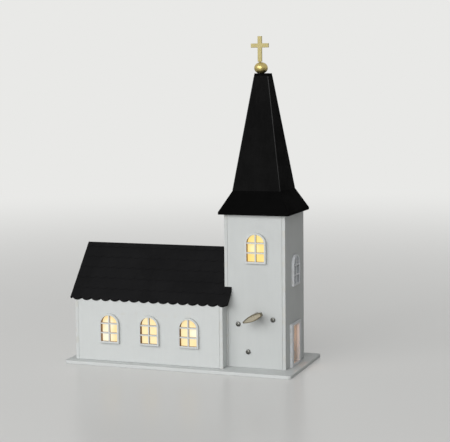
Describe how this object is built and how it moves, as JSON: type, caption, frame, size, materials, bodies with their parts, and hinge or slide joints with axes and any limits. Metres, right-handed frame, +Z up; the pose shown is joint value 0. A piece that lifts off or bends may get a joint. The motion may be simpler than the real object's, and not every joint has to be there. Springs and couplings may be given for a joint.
{
  "type": "christmas church decoration",
  "caption": "White wooden church with a black scalloped roof, flared spire, gold ball and cross, lit arched windows, open doorway and wind-up music movement.",
  "frame": {"origin": "centre of the base plate's underside", "axes": "+X along the nave toward the tower, +Y toward the back (the winding key faces -Y), +Z up"},
  "size_m": [0.2542, 0.1132, 0.3455],
  "materials": {
    "white_painted_wood": "satin white paint on plywood boards",
    "black_painted_wood": "matt black paint with a faint engraved shingle pattern",
    "gold_metal": "polished gold",
    "nickel_key": "nickel-plated sheet",
    "movement_steel": "bright zinc-plated steel",
    "movement_brass": "machined brass",
    "window_film": "translucent sheet that glows warm yellow",
    "black_plastic": "moulded, fine grain",
    "cell_sleeve": "printed sleeve left plain",
    "led_board": "white solder mask with warm LEDs"
  },
  "bodies": {
    "church": {"base_plate": "white_painted_wood", "battery_box": "black_plastic", "battery_cell_1": "cell_sleeve", "battery_cell_2": "cell_sleeve", "comb": "movement_steel", "comb_screw_1": "movement_steel", "comb_screw_2": "movement_steel", "door_surround": "white_painted_wood", "gable_film": "window_film", "governor_frame": "movement_brass", "mounting_screw_1": "movement_steel", "mounting_screw_2": "movement_steel", "mounting_screw_3": "movement_steel", "movement_bedplate": "movement_brass", "nave_back_film": "window_film", "nave_back_wall": "white_painted_wood", "nave_end_strip_back": "white_painted_wood", "nave_end_strip_front": "white_painted_wood", "nave_front_film": "window_film", "nave_front_wall": "white_painted_wood", "nave_gable_wall": "white_painted_wood", "nave_led_board": "led_board", "roof_back": "black_painted_wood", "roof_front": "black_painted_wood", "skirt_back": "black_painted_wood", "skirt_front": "black_painted_wood", "skirt_left": "black_painted_wood", "skirt_right": "black_painted_wood", "spire_back": "black_painted_wood", "spire_ball": "gold_metal", "spire_cap": "black_painted_wood", "spire_cross": "gold_metal", "spire_front": "black_painted_wood", "spire_left": "black_painted_wood", "spire_right": "black_painted_wood", "tower_back_wall": "white_painted_wood", "tower_deck": "black_painted_wood", "tower_front_film": "window_film", "tower_front_wall": "white_painted_wood", "tower_led_board": "led_board", "tower_left_wall": "white_painted_wood", "tower_right_wall": "white_painted_wood", "tower_side_film": "window_film", "window_gable": "white_painted_wood", "window_nave_back_1": "white_painted_wood", "window_nave_back_2": "white_painted_wood", "window_nave_back_3": "white_painted_wood", "window_nave_front_1": "white_painted_wood", "window_nave_front_2": "white_painted_wood", "window_nave_front_3": "white_painted_wood", "window_tower_front": "white_painted_wood", "window_tower_side": "white_painted_wood"},
    "winding_key": {"winding_key": "nickel_key", "winding_arbor": "movement_steel", "spring_barrel": "movement_brass"},
    "music_cylinder": {"pinned_cylinder": "movement_brass"},
    "governor_fly": {"governor_fly": "movement_brass"},
    "battery_lid": {"battery_lid": "black_plastic"},
    "light_switch": {"switch_slider": "black_plastic"}
  },
  "joints": [
    {"name": "key_spin", "type": "hinge", "parent": "church", "child": "winding_key", "pos_m": [0.08511, -0.0295, 0.05942], "axis": [0, 1, 0], "continuous": true},
    {"name": "cylinder_spin", "type": "hinge", "parent": "church", "child": "music_cylinder", "pos_m": [0.08915, -0.0193, 0.03526], "axis": [0.165, 0, -0.9863], "continuous": true},
    {"name": "fly_spin", "type": "hinge", "parent": "church", "child": "governor_fly", "pos_m": [0.09846, -0.0193, 0.03682], "axis": [0.165, 0, -0.9863], "continuous": true},
    {"name": "lid_slide", "type": "slide", "parent": "church", "child": "battery_lid", "axis": [-1, 0, 0], "range_m": [0, 0.016]},
    {"name": "switch_slide", "type": "slide", "parent": "church", "child": "light_switch", "axis": [0, 1, 0], "range_m": [0, 0.006]}
  ],
  "couplings": [
    {"joint": "cylinder_spin", "follows": "key_spin", "ratio": 3},
    {"joint": "fly_spin", "follows": "key_spin", "ratio": -9}
  ]
}
